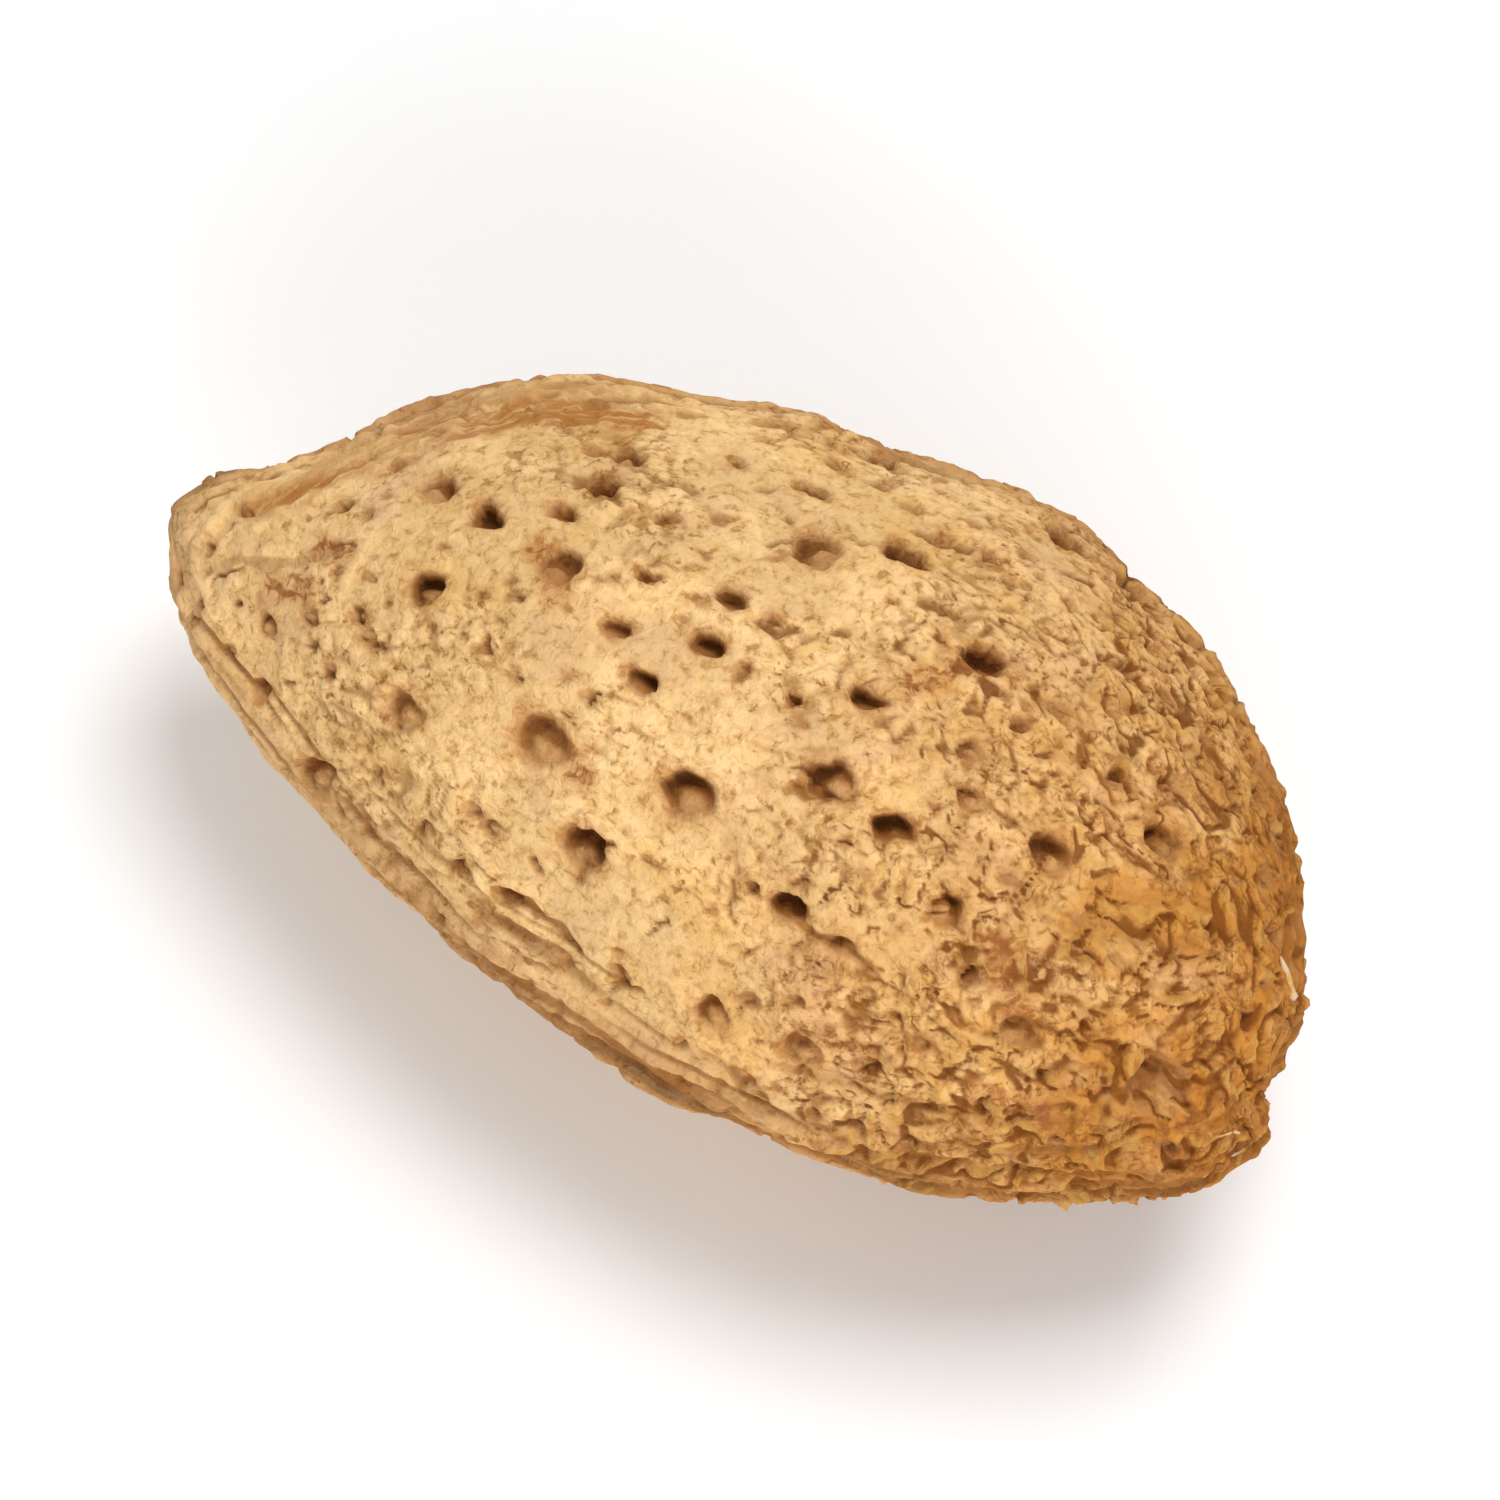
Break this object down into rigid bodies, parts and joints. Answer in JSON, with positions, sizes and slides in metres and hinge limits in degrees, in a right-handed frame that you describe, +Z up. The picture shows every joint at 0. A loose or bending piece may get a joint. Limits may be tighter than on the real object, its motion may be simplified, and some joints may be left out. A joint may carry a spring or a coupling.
{
  "type": "almond in shell",
  "caption": "Almond in its closed shell: a teardrop nut with a keeled seam, a pitted corky surface and a blunt stem end, lying on a small flat spot.",
  "frame": {"origin": "middle of the base of the bounding box, on the surface that the nut rests on", "axes": "+X from the pointed tip to the stem end, +Y towards the more curved edge of the seam, +Z up out of the resting spot"},
  "size_m": [0.036, 0.0204, 0.0156],
  "materials": {
    "shell": "dry, matt and corky, pale tan with brown pits"
  },
  "bodies": {
    "root": {"almond": "shell"}
  },
  "joints": []
}
